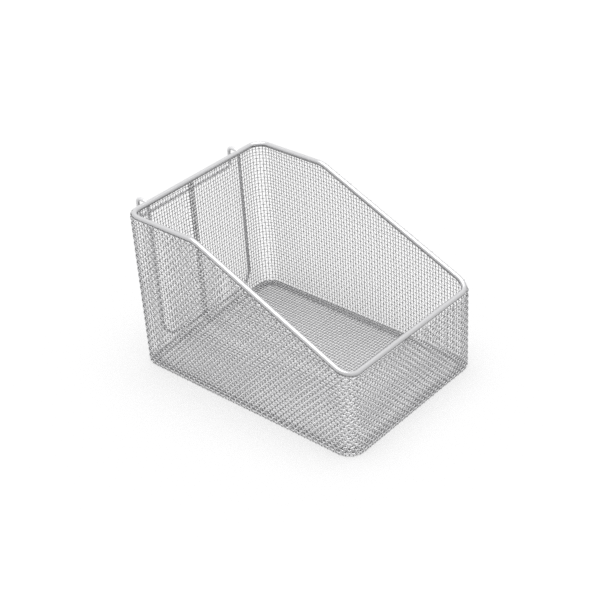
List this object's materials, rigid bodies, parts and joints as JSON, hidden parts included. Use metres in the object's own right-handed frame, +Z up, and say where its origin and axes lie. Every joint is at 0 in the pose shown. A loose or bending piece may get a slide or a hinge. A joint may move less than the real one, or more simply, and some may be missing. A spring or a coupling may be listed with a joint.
{
  "type": "wire transport basket",
  "caption": "Open-top woven stainless wire basket with a high back, sides sloping to a low front, a round rod rim and wire hooks at the back for hanging on a rail.",
  "frame": {"origin": "middle of the overall plan, hanger included, on the plane the basket stands on", "axes": "+Z up, the low front faces -Y, the high back with its hanger faces +Y"},
  "size_m": [0.2088, 0.3156, 0.1855],
  "materials": {
    "rim_steel": "bright polished stainless rod",
    "wall_cloth": "bright stainless wire cloth, plain weave",
    "floor_cloth": "bright stainless wire cloth, plain weave",
    "hanger_steel": "bright stainless wire"
  },
  "bodies": {
    "root": {"rim_rod": "rim_steel", "wall_mesh": "wall_cloth", "floor_mesh": "floor_cloth", "hanger_loop": "hanger_steel"}
  },
  "joints": []
}
